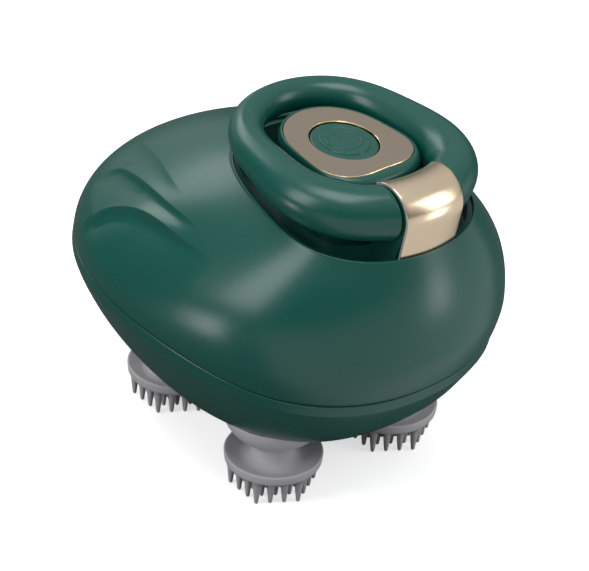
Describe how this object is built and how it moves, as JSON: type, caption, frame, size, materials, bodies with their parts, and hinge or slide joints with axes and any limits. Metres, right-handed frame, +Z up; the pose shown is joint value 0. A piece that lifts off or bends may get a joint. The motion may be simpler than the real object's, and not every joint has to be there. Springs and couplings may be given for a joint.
{
  "type": "electric scalp massager",
  "caption": "Egg-shaped handheld electric scalp massager with geared silicone massage heads, a hinged ring handle under a metal clasp and a push button.",
  "frame": {"origin": "on the plane of the tooth tips, under the middle of the overall length, in the plane of symmetry of the housing", "axes": "+X towards the blunt heel with the clasp, -X towards the narrow nose, +Z up through the button; it stands on the tooth tips"},
  "size_m": [0.1142, 0.0886, 0.0907],
  "materials": {
    "body_green": "satin",
    "tray_green": "satin",
    "trim_taupe": "satin, with bright polished edges",
    "clasp_champagne": "polished, plated champagne",
    "head_silicone": "matte silicone",
    "black_rubber": "matte",
    "black_plastic": "moulded",
    "steel": "ground",
    "white_nylon": "moulded",
    "bearing_bronze": "sintered",
    "contact_gold": "gold plated",
    "cell_film": "shrink film",
    "board_green": "solder mask"
  },
  "bodies": {
    "housing": {"upper_shell": "body_green", "lower_shell": "body_green", "seam_gasket": "black_rubber", "bottom_cover": "body_green", "cover_screws": "steel", "shell_screws": "steel", "handle_tray": "tray_green", "control_pod": "body_green", "tray_screws": "steel", "trim_plate": "trim_taupe", "tact_switch": "steel", "switch_board": "board_green", "clasp_band": "clasp_champagne", "hinge_bracket": "tray_green", "hinge_pin": "steel", "gearbox_deck": "black_plastic", "deck_screws": "steel", "motor_can": "steel", "motor_end_cap": "black_plastic", "motor_screws": "steel", "idler_axle": "steel", "sun_axle": "steel", "sun_clip": "black_plastic", "battery_cell": "cell_film", "battery_tray": "black_plastic", "main_board": "board_green", "board_parts": "black_plastic", "charge_contacts": "contact_gold", "contact_holder": "black_plastic", "spindle_bushes": "bearing_bronze", "spindle_seals": "black_rubber", "thrust_washers": "bearing_bronze"},
    "ring": {"handle_ring": "body_green"},
    "button": {"power_button": "body_green", "switch_plunger": "black_plastic"},
    "heel_left": {"head_heel_left": "head_silicone", "core_heel_left": "white_nylon", "spindle_heel_left": "steel", "gear_heel_left": "white_nylon"},
    "heel_right": {"head_heel_right": "head_silicone", "core_heel_right": "white_nylon", "spindle_heel_right": "steel", "gear_heel_right": "white_nylon"},
    "nose_left": {"head_nose_left": "head_silicone", "core_nose_left": "white_nylon", "spindle_nose_left": "steel", "gear_nose_left": "white_nylon"},
    "nose_right": {"head_nose_right": "head_silicone", "core_nose_right": "white_nylon", "spindle_nose_right": "steel", "gear_nose_right": "white_nylon"},
    "sun": {"sun_gear": "white_nylon"},
    "idler": {"idler_gear": "white_nylon"},
    "rotor": {"motor_shaft": "steel", "motor_pinion": "white_nylon"}
  },
  "joints": [
    {"name": "ring_hinge", "type": "hinge", "parent": "housing", "child": "ring", "pos_m": [0.04457, 0, 0.08374], "axis": [0, 1, 0], "range_deg": [0, 90]},
    {"name": "button_press", "type": "slide", "parent": "housing", "child": "button", "axis": [0, 0, -1], "range_m": [0, 0.0006], "stiffness_N_per_m": 1500, "springref_m": -0.0004},
    {"name": "heel_left_spin", "type": "hinge", "parent": "housing", "child": "heel_left", "pos_m": [0.02233, -0.0179, 0], "axis": [0, 0, 1], "continuous": true},
    {"name": "heel_right_spin", "type": "hinge", "parent": "housing", "child": "heel_right", "pos_m": [0.02233, 0.0179, 0], "axis": [0, 0, 1], "continuous": true},
    {"name": "nose_left_spin", "type": "hinge", "parent": "housing", "child": "nose_left", "pos_m": [-0.02043, -0.0156, 0], "axis": [0, 0, 1], "continuous": true},
    {"name": "nose_right_spin", "type": "hinge", "parent": "housing", "child": "nose_right", "pos_m": [-0.02043, 0.0156, 0], "axis": [0, 0, 1], "continuous": true},
    {"name": "sun_spin", "type": "hinge", "parent": "housing", "child": "sun", "pos_m": [0.00185, 0, 0], "axis": [0, 0, 1], "continuous": true},
    {"name": "idler_spin", "type": "hinge", "parent": "housing", "child": "idler", "pos_m": [0.00185, 0.0192, 0], "axis": [0, 0, 1], "continuous": true},
    {"name": "rotor_spin", "type": "hinge", "parent": "housing", "child": "rotor", "pos_m": [0.00185, 0, 0], "axis": [0, 0, 1], "continuous": true}
  ],
  "couplings": [
    {"joint": "heel_right_spin", "follows": "heel_left_spin", "ratio": 1},
    {"joint": "nose_left_spin", "follows": "heel_left_spin", "ratio": 1},
    {"joint": "nose_right_spin", "follows": "heel_left_spin", "ratio": 1},
    {"joint": "sun_spin", "follows": "heel_left_spin", "ratio": -0.88889},
    {"joint": "idler_spin", "follows": "heel_left_spin", "ratio": 2.6667},
    {"joint": "rotor_spin", "follows": "heel_left_spin", "ratio": -11.556}
  ]
}
